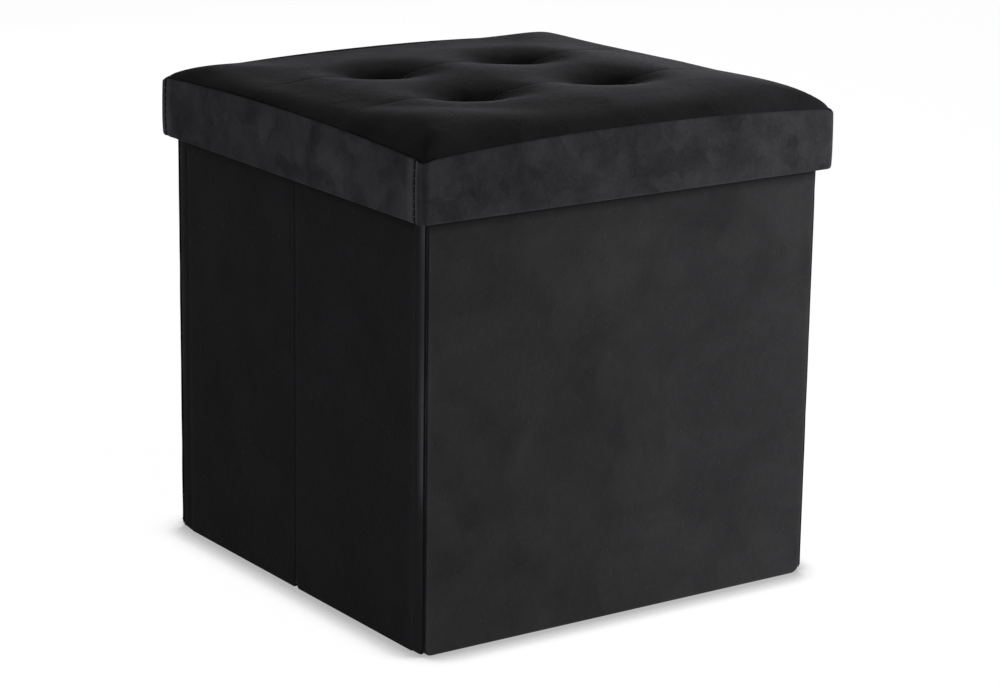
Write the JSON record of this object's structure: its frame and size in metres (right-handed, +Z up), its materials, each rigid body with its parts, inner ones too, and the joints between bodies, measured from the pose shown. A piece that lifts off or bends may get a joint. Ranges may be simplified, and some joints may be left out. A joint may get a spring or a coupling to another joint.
{
  "type": "storage ottoman",
  "caption": "Square velvet storage ottoman with board walls that fold flat, a storage space inside and a padded, button-tufted lift-off lid.",
  "frame": {"origin": "on the floor under the middle of the box", "axes": "+Z up, the front wall faces -Y, the folding side walls face -X and +X"},
  "size_m": [0.38, 0.38, 0.3935],
  "materials": {
    "velvet": "black short-pile polyester velvet",
    "lining": "black point-bonded non-woven cloth",
    "mdf": "raw medium-density fibreboard",
    "plywood": "raw thin plywood",
    "foam": "open-cell polyurethane foam",
    "twine": "waxed tufting twine",
    "nylon": "moulded plastic washer"
  },
  "bodies": {
    "back_wall": {"back_wall_velvet": "velvet", "back_wall_board": "mdf", "back_wall_lining": "lining", "bottom_cloth": "lining", "base_board": "mdf", "base_board_wrap": "lining", "base_board_hinge": "lining", "base_board_pull_tab": "lining", "back_left_corner_hinge": "velvet", "back_right_corner_hinge": "velvet"},
    "left_rear_wall": {"left_rear_wall_velvet": "velvet", "left_rear_wall_board": "mdf", "left_rear_wall_lining": "lining", "left_crease_hinge": "velvet"},
    "left_front_wall": {"left_front_wall_velvet": "velvet", "left_front_wall_board": "mdf", "left_front_wall_lining": "lining"},
    "front_wall": {"front_wall_velvet": "velvet", "front_wall_board": "mdf", "front_wall_lining": "lining", "front_left_corner_hinge": "velvet", "front_right_corner_hinge": "velvet"},
    "right_rear_wall": {"right_rear_wall_velvet": "velvet", "right_rear_wall_board": "mdf", "right_rear_wall_lining": "lining", "right_crease_hinge": "velvet"},
    "right_front_wall": {"right_front_wall_velvet": "velvet", "right_front_wall_board": "mdf", "right_front_wall_lining": "lining"},
    "lid": {"lid_board": "plywood", "lid_lining": "lining", "lid_foam": "foam", "lid_top_velvet": "velvet", "front_skirt_velvet": "velvet", "front_skirt_board": "mdf", "back_skirt_velvet": "velvet", "back_skirt_board": "mdf", "left_skirt_velvet": "velvet", "left_skirt_board": "mdf", "right_skirt_velvet": "velvet", "right_skirt_board": "mdf", "front_left_button": "velvet", "front_left_cord": "twine", "front_left_washer": "nylon", "front_right_button": "velvet", "front_right_cord": "twine", "front_right_washer": "nylon", "back_left_button": "velvet", "back_left_cord": "twine", "back_left_washer": "nylon", "back_right_button": "velvet", "back_right_cord": "twine", "back_right_washer": "nylon"}
  },
  "joints": [
    {"name": "fold", "type": "hinge", "parent": "back_wall", "child": "left_rear_wall", "pos_m": [-0.1735, 0.1675, 0], "axis": [0, 0, -1], "range_deg": [-90, 0], "deforming": ["back_left_corner_hinge", "bottom_cloth"]},
    {"name": "left_crease", "type": "hinge", "parent": "left_rear_wall", "child": "left_front_wall", "pos_m": [-0.181, 0, 0], "axis": [0, 0, 1], "range_deg": [-180, 0], "deforming": ["left_crease_hinge"]},
    {"name": "front_left_corner", "type": "hinge", "parent": "left_front_wall", "child": "front_wall", "pos_m": [-0.1735, -0.1675, 0], "axis": [0, 0, -1], "range_deg": [-90, 0], "deforming": ["front_left_corner_hinge"]},
    {"name": "front_right_corner", "type": "hinge", "parent": "front_wall", "child": "right_front_wall", "pos_m": [0.1735, -0.1675, 0], "axis": [0, 0, -1], "range_deg": [-90, 0], "deforming": ["front_right_corner_hinge"]},
    {"name": "back_right_corner", "type": "hinge", "parent": "back_wall", "child": "right_rear_wall", "pos_m": [0.1735, 0.1675, 0], "axis": [0, 0, 1], "range_deg": [-90, 0], "deforming": ["back_right_corner_hinge", "right_crease_hinge"]},
    {"name": "lid_lift", "type": "slide", "parent": "back_wall", "child": "lid", "axis": [0, 0, 1], "range_m": [0, 0.4]}
  ],
  "couplings": [
    {"joint": "left_crease", "follows": "fold", "ratio": 2},
    {"joint": "front_left_corner", "follows": "fold", "ratio": 1},
    {"joint": "front_right_corner", "follows": "fold", "ratio": 1},
    {"joint": "back_right_corner", "follows": "fold", "ratio": 1}
  ]
}
